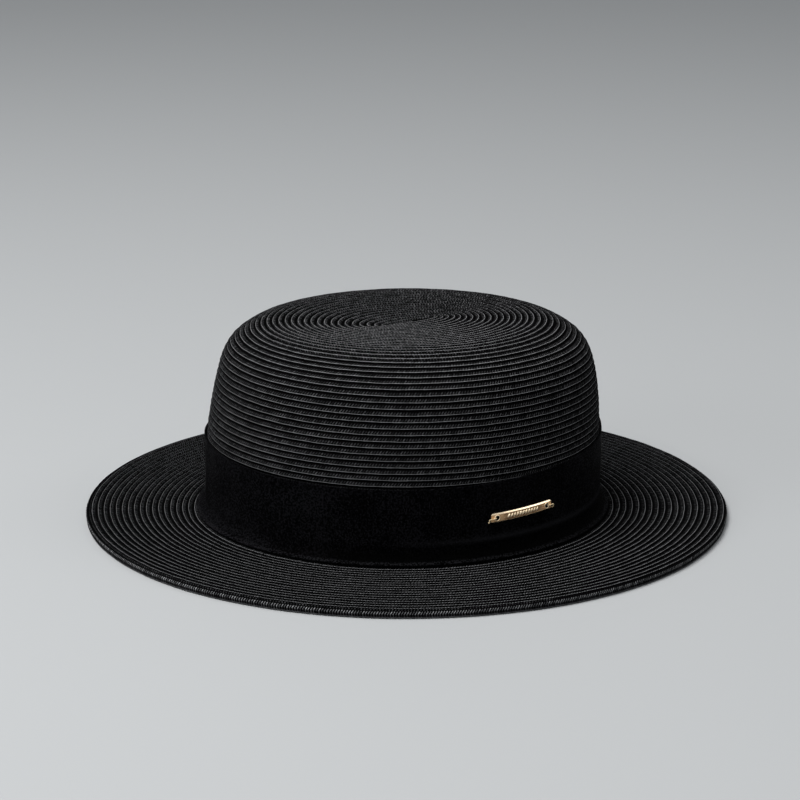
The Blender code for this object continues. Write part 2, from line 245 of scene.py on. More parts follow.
def spiral(face, first, last, section, seed, step=STROKE, turns=None, phase=0.0, flip=False, sink=0.0):
    """A row of braid wound over a face, from way first to way last. Each turn of a spiral lies one pitch further out, and
    a ring keeps its way. Every straw takes three lines of points, and a plain row one."""
    turns = (last - first) / PITCH if turns is None else turns
    turn = np.linspace(0, 2 * math.pi * turns, int(turns * 720) + 2)
    wind = (last - first) / (2 * math.pi * turns)
    p = face(turn + phase, np.maximum(first + wind * turn + 0.5 * PITCH, 2e-5))
    length = np.concatenate([[0], np.cumsum(np.linalg.norm(np.diff(p, axis=0), axis=1))])
    count = max(round(length[-1] / step), 8)
    step = length[-1] / count
    rows = section[1:]
    across, height, straw, run = (np.array([r[k] for r in rows]) for k in range(4))
    height, straw, run = height * 1e-3 - sink, straw * 1e-3, run * 1e-3
    shape = STRAW_SHAPE[1:] if straw.any() else ((0.0, 0.0),)
    along = np.array([a for a, _ in shape])
    u = np.append((np.arange(count)[:, None] + along[None, :]).ravel(), count)
    stand = np.append(np.tile([h for _, h in shape], count), shape[0][1])
    at = u * step
    rng = np.random.default_rng(seed)
    each = np.repeat(rng.uniform(-1, 1, count + 1), len(shape))[: len(u)]
    lean = np.repeat(rng.uniform(-1, 1, count + 1), len(shape))[: len(u)]
    sway = unevenness(at, (0.013, 0.021, 0.034, 0.057, 0.093), seed + 1)
    lift = unevenness(at, (0.009, 0.017, 0.029, 0.061), seed + 2)
    turn_ij = np.interp(at[:, None] + run[None, :] * (1 + 0.12 * lean[:, None]), length, turn)
    way_ij = first + wind * turn_ij + (across[None, :] + 0.018 * sway[:, None]) * PITCH
    way_ij = np.maximum(way_ij, 2e-5)
    base = face(turn_ij + phase, way_ij)
    n = normal_of(face, turn_ij + phase, way_ij)
    h = height[None, :] + lift[:, None] * 0.00005 * (across[None, :] > 0.1)
    h = h + straw[None, :] * (stand[:, None] * (1 + 0.2 * each[:, None]) + 0.3 * each[:, None])
    points = base + n * h[..., None]
    v = np.broadcast_to(across[None, :], way_ij.shape) + np.floor(at * turns / length[-1])[:, None] * 2
    return grid_mesh("", points, np.stack([np.broadcast_to(u[:, None], v.shape), v], -1), flip=flip)


# ------------------------------------------------------------------ materials
class Nodes:
    """Small helper to write node trees."""

    def __init__(self, name):
        self.mat = bpy.data.materials.new(name)
        self.mat.use_nodes = True
        self.tree = self.mat.node_tree
        self.shader = self.tree.nodes["Principled BSDF"]

    def node(self, kind, **values):
        n = self.tree.nodes.new(kind)
        for key, value in values.items():
            setattr(n, key, value)
        return n

    def link(self, a, b):
        self.tree.links.new(a, b)

    def put(self, socket, value):
        if hasattr(value, "is_linked"):
            self.link(value, socket)
        else:
            socket.default_value = value

    def maths(self, kind, *values, clamp=False):
        n = self.node("ShaderNodeMath", operation=kind, use_clamp=clamp)
        for socket, value in zip(n.inputs, values):
            self.put(socket, value)
        return n.outputs[0]

    def mix(self, factor, a, b):
        n = self.node("ShaderNodeMix", data_type="RGBA")
        self.put(n.inputs[0], factor)
        self.put(n.inputs[6], a)
        self.put(n.inputs[7], b)
        return n.outputs[2]

    def remap(self, value, low, high, to_low, to_high):
        n = self.node("ShaderNodeMapRange")
        for socket, v in zip(n.inputs, (value, low, high, to_low, to_high)):
            self.put(socket, v)
        return n.outputs[0]

    def noise(self, vector, scale, detail=2.0, rough=0.5):
        n = self.node("ShaderNodeTexNoise")
        self.put(n.inputs["Vector"], vector)
        n.inputs["Scale"].default_value = scale
        n.inputs["Detail"].default_value = detail
        n.inputs["Roughness"].default_value = rough
        return n.outputs["Fac"]

    def set(self, **values):
        for key, value in values.items():
            self.put(self.shader.inputs[key.replace("_", " ")], value)

    def bump(self, height, strength, distance, after=None):
        n = self.node("ShaderNodeBump")
        n.inputs["Strength"].default_value = strength
        n.inputs["Distance"].default_value = distance
        self.put(n.inputs["Height"], height)
        if after is not None:
            self.link(after, n.inputs["Normal"])
        return n.outputs["Normal"]


def straw_material(name, groove_shade, crest_highlight, bead_highlight, gloss, lips, shaded_start, speckle=0.2, dimmed=(2.0, 3.0, 1.0)):
    """Dyed straw with painted light: crests and the sewn rows' beads are painted lighter as painted highlights, the
    grooves between hold painted shade, and each straw has its own tone. lips gives the bead's middle and half width
    across the row, shaded_start where the straws come out from under the row before, with painted shadow from that
    row's bead ahead of it, speckle how light its darkest specks stay, and dimmed where the straws' painted highlight
    dims again and how much of it stays."""
    m = Nodes(name)
    coords = m.node("ShaderNodeTexCoord").outputs["Object"]
    uv = m.node("ShaderNodeUVMap", uv_map="weave").outputs["UV"]
    split = m.node("ShaderNodeSeparateXYZ")
    m.link(uv, split.inputs[0])
    u, v = split.outputs["X"], split.outputs["Y"]
    across = m.maths("FLOORED_MODULO", v, 2.0)
    cell = m.node("ShaderNodeTexWhiteNoise", noise_dimensions="2D")
    key = m.node("ShaderNodeCombineXYZ")
    m.put(key.inputs[0], m.maths("FLOOR", u))
    m.put(key.inputs[1], m.maths("FLOOR", m.maths("MULTIPLY", v, 0.5)))
    m.link(key.outputs[0], cell.inputs["Vector"])
    each = cell.outputs["Value"]
    patch = m.noise(coords, 38.0, 3.0, 0.6)
    fine = m.noise(coords, 900.0, 2.0, 0.6)
    dash = m.noise(coords, 330.0, 2.0, 0.6)
    speck = m.remap(m.noise(coords, 1300.0, 2.0, 0.7), 0.42, 0.56, 0.0, 1.0)
    # Straws: painted shade in the grooves at whole u, painted highlight lightest on the crests between
    ridge = m.maths("SUBTRACT", 1.0, m.maths("ABSOLUTE", m.maths("SUBTRACT", m.maths("MULTIPLY", m.maths("FRACT", u), 2.0), 1.0)))
    ridge = m.remap(ridge, 0.48, 0.95, 0.0, 1.0)
    # Painted shadow of the row before: no highlight where the straws come out from under its bead.
    ridge = m.maths("MULTIPLY", ridge, m.remap(across, shaded_start[0], shaded_start[1], 0.0, 1.0))
    # The straws' painted highlight dims again before the bead.
    ridge = m.maths("MULTIPLY", ridge, m.remap(across, dimmed[0], dimmed[1], 1.0, dimmed[2]))
    bead = m.maths("SUBTRACT", 1.0, m.maths("ABSOLUTE", m.maths("DIVIDE", m.maths("SUBTRACT", across, lips[0]), lips[1])), clamp=True)
    bead = m.remap(bead, 0.0, 0.55, 0.0, 1.0)
    vary = m.maths("ADD", m.maths("MULTIPLY", each, 0.55), m.maths("ADD", m.maths("MULTIPLY", patch, 0.25), m.maths("MULTIPLY", dash, 0.35)))
    vary = m.remap(vary, 0.25, 0.90, 0.15, 1.0)
    ridge = m.maths("MULTIPLY", ridge, m.remap(speck, 0.0, 1.0, speckle, 1.0))
    # Painted shade in the grooves, painted highlight on the crests.
    colour = m.mix(m.maths("MULTIPLY", ridge, vary), (*groove_shade, 1), (*crest_highlight, 1))
    # The bead's painted highlight, lighter on one half of each straw and broken by the straws' own tone and specks.
    bead_glint = m.maths("ADD", m.maths("MULTIPLY", m.remap(m.maths("SINE", m.maths("MULTIPLY", u, 2 * math.pi)), -1.0, 1.0, 0.0, 1.0), 0.4), m.maths("MULTIPLY", vary, 0.7))
    bead_glint = m.maths("MULTIPLY", m.remap(bead_glint, 0.1, 1.0, 0.42, 1.0), m.remap(speck, 0.0, 1.0, 0.65 + 0.35 * speckle, 1.0))
    bead = m.maths("MULTIPLY", bead, bead_glint)
    # Painted highlight along each row's bead.
    colour = m.mix(bead, colour, (*bead_highlight, 1))
    crest_on = m.maths("MAXIMUM", ridge, bead)
    fibre_at = m.node("ShaderNodeCombineXYZ")
    m.put(fibre_at.inputs[0], m.maths("MULTIPLY", u, 7.0))
    m.put(fibre_at.inputs[1], m.maths("MULTIPLY", v, 1.3))
    fibre = m.noise(fibre_at.outputs[0], 1.0, 3.0, 0.6)
    height = m.maths("ADD", m.maths("MULTIPLY", fibre, 0.6), m.maths("MULTIPLY", fine, 0.4))
    m.set(Base_Color=colour, Normal=m.bump(height, 0.35, 0.00012))
    polish = m.remap(m.maths("ADD", m.maths("MULTIPLY", each, 0.5), m.maths("MULTIPLY", fine, 0.5)), 0.2, 0.8, gloss + 0.12, gloss - 0.08)
    m.set(Roughness=m.maths("SUBTRACT", 0.95, m.maths("MULTIPLY", m.maths("SUBTRACT", 0.95, polish), crest_on)))
    m.shader.inputs["Specular IOR Level"].default_value = 0.03
    return m.mat


def back_material(name, dark, light):
    """The braid's back, with its straws drawn as slanting ribs and painted shade in the hollows between them."""
    m = Nodes(name)
    coords = m.node("ShaderNodeTexCoord").outputs["Object"]
    uv = m.node("ShaderNodeUVMap", uv_map="weave").outputs["UV"]
    split = m.node("ShaderNodeSeparateXYZ")
    m.link(uv, split.inputs[0])
    u, v = split.outputs["X"], split.outputs["Y"]
    slant = m.maths("ADD", m.maths("MULTIPLY", u, 1.0), m.maths("MULTIPLY", v, 0.9))
    part = m.maths("ABSOLUTE", m.maths("SUBTRACT", m.maths("MULTIPLY", m.maths("FRACT", slant), 2.0), 1.0))
    patch = m.noise(coords, 40.0, 3.0, 0.6)
    fine = m.noise(coords, 800.0, 2.0, 0.6)
    colour = m.mix(m.remap(patch, 0.3, 0.7, 0.0, 1.0), (*dark, 1), (*light, 1))
    # Painted shade in the hollows between the ribs.
    colour = m.mix(m.maths("MULTIPLY", m.maths("POWER", m.maths("SUBTRACT", 1.0, part), 2.0), 0.6), colour, (dark[0] * 0.3, dark[1] * 0.3, dark[2] * 0.3, 1))
    height = m.maths("ADD", part, m.maths("MULTIPLY", fine, 0.25))
    m.set(Base_Color=colour, Normal=m.bump(height, 0.7, 0.0002))
    m.set(Roughness=m.remap(fine, 0.3, 0.7, 0.5, 0.66))
    m.shader.inputs["Specular IOR Level"].default_value = 0.4
    return m.mat


def ribbon_material(name):
    """Black ribbon: fine ribs across it, a finer warp, cloudy tone, a painted shadow along its lower edge, a painted
    highlight along the fold where it starts to flare, and lighter along its very lower edge.
    """
    m = Nodes(name)
    coords = m.node("ShaderNodeTexCoord").outputs["Object"]
    uv = m.node("ShaderNodeUVMap", uv_map="weave").outputs["UV"]
    split = m.node("ShaderNodeSeparateXYZ")
    m.link(uv, split.inputs[0])
    u, v = split.outputs["X"], split.outputs["Y"]
    ribs = m.maths("SINE", m.maths("MULTIPLY", u, 2 * math.pi / 0.00075))
    warp = m.maths("SINE", m.maths("MULTIPLY", v, 2 * math.pi / 0.00042))
    fine = m.noise(coords, 1150.0, 1.0, 0.6)
    cloud = m.noise(coords, 45.0, 3.0, 0.55)
    height = m.maths("ADD", m.maths("MULTIPLY", ribs, 0.45), m.maths("ADD", m.maths("MULTIPLY", warp, 0.2), m.maths("MULTIPLY", fine, 0.8)))
    shade = m.maths("ADD", m.maths("MULTIPLY", cloud, 0.25), m.maths("MULTIPLY", fine, 0.75))
    colour = m.mix(m.remap(shade, 0.46, 0.60, 0.0, 1.0), (0.0001, 0.0001, 0.0002, 1), (0.0056, 0.0055, 0.0066, 1))
    place = m.node("ShaderNodeSeparateXYZ")
    m.link(coords, place.inputs[0])
    # Painted shadow along the lower edge, where the ribbon flares out onto the brim, weaker on the left.
    shaded = m.maths("MULTIPLY", m.remap(v, 0.031, 0.036, 0.0, 0.95), m.remap(place.outputs["X"], -0.095, -0.045, 0.1, 1.0))
    colour = m.mix(shaded, colour, (0.0001, 0.0001, 0.0001, 1))
    # Painted highlight along the fold where the ribbon starts to flare, strongest towards the right.
    fold_highlight = m.maths("SUBTRACT", 1.0, m.maths("ABSOLUTE", m.maths("DIVIDE", m.maths("SUBTRACT", v, 0.0300), 0.0022)), clamp=True)
    fold_highlight = m.maths("MULTIPLY", fold_highlight, m.remap(place.outputs["X"], -0.03, 0.03, 0.0, 0.8))
    colour = m.mix(fold_highlight, colour, (0.0120, 0.0119, 0.0135, 1))
    # Lighter along the very lower edge.
    lower_edge_lighter = m.maths("MULTIPLY", m.remap(v, 0.0394, 0.0404, 0.0, 1.0), m.remap(shade, 0.44, 0.58, 0.0, 1.0))
    colour = m.mix(lower_edge_lighter, colour, (0.0082, 0.0081, 0.0093, 1))
    m.set(Base_Color=colour, Normal=m.bump(height, 0.8, 0.00018))
    m.set(Roughness=m.remap(shade, 0.38, 0.62, 0.85, 0.60))
    m.shader.inputs["Specular IOR Level"].default_value = 0.012
    m.shader.inputs["Sheen Weight"].default_value = 0.002
    m.shader.inputs["Sheen Roughness"].default_value = 0.5
    return m.mat


def metal_material(name, colour, worn, rough, metallic, field=None):
    """Gilt metal: brushed faintly along its length, with small rubs. A field, given by half its length and half its
    height, is darkened patchily with patina and painted shade among the ornament, the bevels get a painted highlight,
    and the holes get painted shade inside and in a thin ring round them."""
    m = Nodes(name)
    coords = m.node("ShaderNodeTexCoord").outputs["Object"]
    stretch = m.node("ShaderNodeMapping")
    m.link(coords, stretch.inputs["Vector"])
    stretch.inputs["Scale"].default_value = (120.0, 120.0, 2600.0)
    brushed = m.noise(stretch.outputs[0], 1.0, 3.0, 0.6)
    rubs = m.noise(coords, 420.0, 3.0, 0.6)
    tone = m.mix(m.remap(rubs, 0.35, 0.7, 0.0, 1.0), (*colour, 1), (*worn, 1))
    if field:
        split = m.node("ShaderNodeSeparateXYZ")
        m.link(m.node("ShaderNodeUVMap", uv_map="weave").outputs["UV"], split.inputs[0])
        inside = [
            m.remap(m.maths("ABSOLUTE", split.outputs[axis]), 0.8 * size, size, 1.0, 0.0) for axis, size in zip("XY", field)
        ]
        # Patina and painted shade, patchy, in the field round the ornament.
        patina_and_shade = m.maths("MULTIPLY", m.maths("MULTIPLY", inside[0], inside[1]), m.remap(rubs, 0.3, 0.6, 0.25, 0.75))
        tone = m.mix(patina_and_shade, tone, (colour[0] * 0.16, colour[1] * 0.11, colour[2] * 0.09, 1))
        # Painted highlight on the bevels along the long edges.
        bevel_highlight = m.remap(m.maths("ABSOLUTE", split.outputs["Y"]), PLATE_HIGH / 2 - 0.00062, PLATE_HIGH / 2 - 0.00055, 0.0, 0.85)
        tone = m.mix(bevel_highlight, tone, (0.80, 0.67, 0.49, 1))
        # Painted shade inside each hole and in a thin ring round it.
        beside = m.maths("SUBTRACT", m.maths("ABSOLUTE", split.outputs["X"]), PLATE_LONG / 2 - HOLE_INSET)
        away = m.maths("SQRT", m.maths("ADD", m.maths("MULTIPLY", beside, beside), m.maths("MULTIPLY", split.outputs["Y"], split.outputs["Y"])))
        tone = m.mix(m.remap(away, PLATE_HOLE / 2 + 0.00010, PLATE_HOLE / 2 + 0.00016, 1.0, 0.0), tone, (0.030, 0.018, 0.010, 1))
    m.set(Base_Color=tone)
    m.set(Normal=m.bump(brushed, 0.12, 0.00005))
    m.set(Roughness=m.remap(m.maths("ADD", m.maths("MULTIPLY", brushed, 0.5), m.maths("MULTIPLY", rubs, 0.5)), 0.3, 0.7, rough - 0.05, rough + 0.08))
    m.shader.inputs["Metallic"].default_value = metallic
    return m.mat


# The same dyed straw in four copies, for the crown's top, the crown's side, the brim and the edge braid, each with its
# painted highlights and painted shade set lighter or darker for how the light falls there.
STRAW_TOP = straw_material(
    "straw_top", (0.0002, 0.0002, 0.0003), (0.146, 0.146, 0.153), (0.270, 0.271, 0.281), 0.45, (0.866, 0.044), (0.40, 0.58), 0.10
)
STRAW_OUT = straw_material(
    "straw_crown", (0.0002, 0.0002, 0.0003), (0.092, 0.092, 0.097), (0.335, 0.337, 0.349), 0.45, (0.868, 0.038), (0.28, 0.44), 0.30, (0.74, 0.81, 0.25)
)
STRAW_BRIM = straw_material(
    "straw_brim", (0.0002, 0.0002, 0.0003), (0.088, 0.089, 0.094), (0.215, 0.217, 0.226), 0.45, (0.866, 0.042), (0.28, 0.50), 0.22, (0.70, 0.79, 0.12)
)
STRAW_EDGE = straw_material(
    "straw_edge", (0.0002, 0.0002, 0.0003), (0.520, 0.522, 0.540), (0.110, 0.110, 0.115), 0.45, (0.79, 0.05), (0.35, 0.40), 0.3, (0.54, 0.61, 0.12)
)
STRAW_BACK = back_material("straw_inside", (0.0050, 0.0048, 0.0052), (0.0120, 0.0115, 0.0115))
RIBBON = ribbon_material("ribbon_weave")
PLATE = metal_material("plate_gilt", (1.0, 0.66, 0.36), (0.90, 0.52, 0.25), 0.24, 0.66, (0.0122, 0.0018))
GOLD = metal_material("plate_gold", (1.0, 0.84, 0.60), (1.0, 0.78, 0.50), 0.30, 0.45)
WIRE = metal_material("pin_wire", (1.0, 0.80, 0.50), (0.95, 0.72, 0.42), 0.30, 0.30)


def dress(obj, node):
    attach(obj, "root")
    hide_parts(node)
    return obj


# ------------------------------------------------------------------ crown
bound_top = WAY[np.argmin(np.abs(INSET - 0.0233))]  # top and shoulder meet here
foot_way = WAY[-1]
band_way = WAY[np.argmin(np.abs(RISE))]  # the ribbon's upper edge
full_rows = math.floor(bound_top / PITCH)
top_last = full_rows * PITCH
side_last = top_last + math.ceil((band_way + 0.0045 - top_last) / PITCH) * PITCH
half_way = top_last + math.floor(0.5 * (side_last - top_last) / PITCH) * PITCH

crown_top = dress(build("crown_top_braid", [spiral(crown_at, -0.75 * PITCH, top_last, ROW, 11, phase=0.5 * math.pi)], STRAW_TOP), "crown")
crown_shoulder = dress(build("crown_shoulder_braid", [spiral(crown_at, top_last, half_way, ROW, 21)], STRAW_OUT), "crown")
crown_wall = dress(build("crown_wall_braid", [spiral(crown_at, half_way, side_last, ROW, 31)], STRAW_OUT), "crown")
FLAT_ROW = (ROW[0], *[(w, min(h, -0.35), 0.0, 0.0) for w, h, _, _ in ROW[1:]])
crown_lining = dress(
    build(
        "crown_inside_braid",
        [
            spiral(crown_at, side_last, foot_way - PITCH, FLAT_ROW, 41, 0.0033),
            spiral(crown_at, foot_way - PITCH, foot_way - PITCH, FLAT_ROW, 42, 0.0033, turns=1, sink=0.0002),
            spiral(crown_at, -0.75 * PITCH, foot_way - PITCH, BACK, 51, 0.0028, phase=0.5 * math.pi, flip=True),
            spiral(crown_at, foot_way - PITCH, foot_way - PITCH, BACK, 52, 0.0028, turns=1, flip=True, sink=-0.0002),
            spiral(crown_at, foot_way - PITCH, foot_way - PITCH, HEM, 53, 0.0033, turns=1),
        ],
        STRAW_BACK,
    ),
    "crown",
)

# ------------------------------------------------------------------ brim
brim_end = BEND_WAY + BRIM_REACH
rows = math.ceil((brim_end - math.radians(BAND_FLARE_DEG - 16) * BEND) / PITCH)
brim_first = brim_end - rows * PITCH
middle_row = brim_first + (rows // 2 + 1) * PITCH
under_end = brim_end - 0.0020 - PITCH  # the underside's last row meets the edge braid's inner side

brim_inner = dress(build("brim_inner_braid", [spiral(brim_at, brim_first - PITCH, middle_row, ROW, 61, phase=1.9)], STRAW_BRIM), "brim")
brim_outer = dress(
    build(
        "brim_outer_braid",
        [
            spiral(brim_at, middle_row, brim_end - PITCH, ROW, 71, phase=1.9),
            spiral(brim_at, brim_end - PITCH, brim_end - PITCH, RIM_ROW, 72, turns=1, phase=1.9),
        ],
        STRAW_BRIM,
    ),
    "brim",
)
inner_hem = (HEM[0], *[(1 - w, h, 0.0, 0.0) for w, h, _, _ in HEM[1:]])
brim_back = dress(
    build(
        "brim_under_braid",
        [
            spiral(brim_at, 0.0003, under_end, BACK, 81, 0.0028, flip=True),
            spiral(brim_at, under_end, under_end, BACK, 82, 0.0028, turns=1, flip=True, sink=-0.0002),
            spiral(brim_at, 0.0003, 0.0003, BACK, 83, 0.0028, turns=1, flip=True, sink=-0.0002),
            spiral(brim_at, 0.0003, 0.0003, FLAT_ROW, 84, 0.0033, turns=1),
            spiral(brim_at, 0.0003, 0.0003, inner_hem, 85, 0.0033, turns=1, flip=True),
        ],
        STRAW_BACK,
    ),
    "brim",
)


# ------------------------------------------------------------------ edge braid
# Section of the turned-down row: out from the rim, height, straw, run, in millimetres, from the inner top corner round.
EDGE = (
    ("out", "height", "straw", "run"),
    (-2.2, 3.75, 0.00, 0.5),
    (-1.45, 3.55, 0.00, 0.5),
    (-1.15, 3.90, 0.02, 0.55),
    (-0.75, 4.02, 0.04, 0.5),
    (-0.36, 3.94, 0.12, 0.4),
    (0.02, 3.45, 0.22, 0.1),
    (0.06, 2.70, 0.18, -0.4),
    (-0.22, 2.15, 0.05, -0.5),
    (-0.14, 1.60, 0.06, -0.45),
    (-0.06, 0.95, 0.12, -0.2),
    (-0.20, 0.30, 0.06, 0.3),
    (-0.8, 0.02, 0.00, 0.4),
    (-2.2, 0.02, 0.00, 0.4),
)
EDGE_STROKE = 0.00130


def edge_braid():
    turn = np.linspace(0, 2 * math.pi, 7201)
    rim = np.stack([BRIM_HALF_LENGTH * np.cos(turn), BRIM_HALF_WIDTH * np.sin(turn)], -1)
    length = np.concatenate([[0], np.cumsum(np.linalg.norm(np.diff(rim, axis=0), axis=1))])
    count = round(length[-1] / EDGE_STROKE)
    shape = STRAW_SHAPE[1:]
    u = (np.arange(count)[:, None] + np.array([a for a, _ in shape])[None, :]).ravel()
    stand = np.tile([h for _, h in shape], count)
    at = u * length[-1] / count
    rows = EDGE[1:]
    out, z, straw, run = (np.array([r[k] for r in rows]) * 1e-3 for k in range(4))
    rng = np.random.default_rng(91)
    each = np.repeat(rng.uniform(-1, 1, count), len(shape))
    t = np.interp((at[:, None] + run[None, :]) % length[-1], length, turn)
    sway = unevenness(at / length[-1], (1 / 11, 1 / 23, 1 / 41), 92)[:, None] * 0.00006
    o = out[None, :] + sway + straw[None, :] * (stand[:, None] * (1 + 0.2 * each[:, None]) + 0.2 * each[:, None])
    points = np.stack(
        [(BRIM_HALF_LENGTH + o) * np.cos(t), (BRIM_HALF_WIDTH + o) * np.sin(t), np.broadcast_to(z[None, :], o.shape)], -1
    )
    v = np.broadcast_to(np.linspace(0, 1, len(rows))[None, :], o.shape)
    return grid_mesh("", points, np.stack([np.broadcast_to(u[:, None], v.shape), v], -1), wrap_u=True, wrap_v=True)


edge = dress(build("brim_edge_braid", [edge_braid()], STRAW_EDGE), "brim_edge")


# ------------------------------------------------------------------ ribbon
def ribbon():
    around = math.pi * (HALF_LENGTH + HALF_WIDTH)
    lap = BAND_LAP / around * 2 * math.pi
    start = math.radians(BAND_SEAM_DEG)
    count = 360
    turn = start + np.linspace(0, 2 * math.pi + lap, count)
    lay = np.clip((turn - start - 2 * math.pi + 1.2 * lap) / (1.2 * lap), 0, 1)
    lay = lay * lay * (3 - 2 * lay)
    straight, flare = 20, 12
    thick = 0.0008
    top = BAND_TOP + BAND_RISE_X * np.cos(turn) + BAND_RISE_Y * np.sin(turn) + BAND_RISE_ENDS * np.cos(2 * turn)
    low = BRIM_TOP_INNER + BEND
    t = np.linspace(0, 1, straight, endpoint=False)
    wide = turn * 0.5 * (HALF_LENGTH + HALF_WIDTH)
    ripple = unevenness(wide, (0.031, 0.047, 0.083), 101)
    ripple2 = unevenness(wide, (0.023, 0.037, 0.064), 102)
    lift = GAP + thick / 2 + lay * (BAND_THICK + GAP)
    down = np.concatenate([t, 1 + np.linspace(0, 1, flare)])
    outs, heights = [], []
    for w in down:
        if w < 1:
            edge_open = 0.0003 * np.clip(1 - w * 5, 0, 1) * (0.5 + 0.5 * ripple)
            belly = 0.00022 * ripple2 * np.sin(math.pi * min(w, 1.0))
            outs.append(lift + 0.00012 + edge_open + np.maximum(belly, -0.0002))
            heights.append(top + (low - top) * w)
        else:
            a = math.radians(BAND_FLARE_DEG) * (w - 1)
            r = BEND - lift - 0.00012
            outs.append(BEND - r * math.cos(a))
            heights.append(low - r * math.sin(a))
    path = np.stack([np.array(outs).T, np.array(heights).T], -1)  # turn, down, (out, height)
    # A soft ridge where the ribbon starts to flare, strongest on the front right.
    s = np.concatenate([[0], np.cumsum(np.linalg.norm(np.diff(path[0], axis=0), axis=1))])
    from_low = s[-1] - s
    where = np.exp(-(((np.degrees(turn) % 360) - 295) / 38) ** 2) + 0.25
    ridge = np.exp(-(((from_low - 0.0118) / 0.0017) ** 2)) - 0.5 * np.exp(-(((from_low - 0.0072) / 0.0022) ** 2))
    path[..., 0] += 0.00042 * where[:, None] * np.maximum(ridge, -0.45)[None, :]
    step = np.gradient(path, axis=1)
    step /= np.linalg.norm(step, axis=2)[..., None]
    side = np.stack([-step[..., 1], step[..., 0]], -1) * thick / 2
    loop = np.concatenate([path + side, (path - side)[:, ::-1]], 1)
    points = np.stack(
        [
            CROWN_SHIFT + (HALF_LENGTH + loop[..., 0]) * np.cos(turn)[:, None],
            (HALF_WIDTH + loop[..., 0]) * np.sin(turn)[:, None],
            loop[..., 1],
        ],
        -1,
    )
    v = np.concatenate([s, s[::-1] + 0.001])
    uv = np.stack([np.broadcast_to(wide[:, None], points.shape[:2]), np.broadcast_to(v[None, :], points.shape[:2])], -1)
    p, q, uv = grid_mesh("", points, uv, wrap_v=True)
    n = points.shape[1]
    h = n // 2
    caps = []
    for j, turn_round in ((0, False), (count - 1, True)):
        for i in range(h - 1):
            quad = [j * n + i, j * n + n - 1 - i, j * n + n - 2 - i, j * n + i + 1]
            caps.append(quad[::-1] if turn_round else quad)
    return (p, np.concatenate([q, np.array(caps)]), uv), float(s[-1]), around + BAND_LAP


part, ribbon_wide, ribbon_long = ribbon()
band = dress(build("ribbon", [part], RIBBON), "hat_band")
band.data.set_sharp_from_angle(angle=math.radians(50))

# ------------------------------------------------------------------ plate and pins
for name in ("plate_pin_left", "plate_pin_right"):
    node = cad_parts[name]
    node.data.materials.clear()
    node.data.materials.append(WIRE)

angle = math.radians(PLATE_DEG)
oval_a, oval_b = HALF_LENGTH + 2 * GAP + BAND_THICK, HALF_WIDTH + 2 * GAP + BAND_THICK
plate_along = np.array([-oval_a * math.sin(angle), oval_b * math.cos(angle), 0.0])
plate_radius = np.linalg.norm(plate_along) ** 3 / (oval_a * oval_b)
plate_along /= np.linalg.norm(plate_along)
plate_out = np.array([plate_along[1], -plate_along[0], 0.0])
plate_centre = np.array([CROWN_SHIFT + oval_a * math.cos(angle), oval_b * math.sin(angle), PLATE_MIDDLE]) - plate_out * plate_radius


def on_plate(s, up, o):
    """A point near the plate: along it, up it, and out from its back."""
    turn = s / plate_radius
    tilt = s * math.tan(math.radians(PLATE_TILT_DEG))
    return plate_centre + (plate_radius + o) * (math.cos(turn) * plate_out + math.sin(turn) * plate_along) + np.array([0, 0, up + tilt])


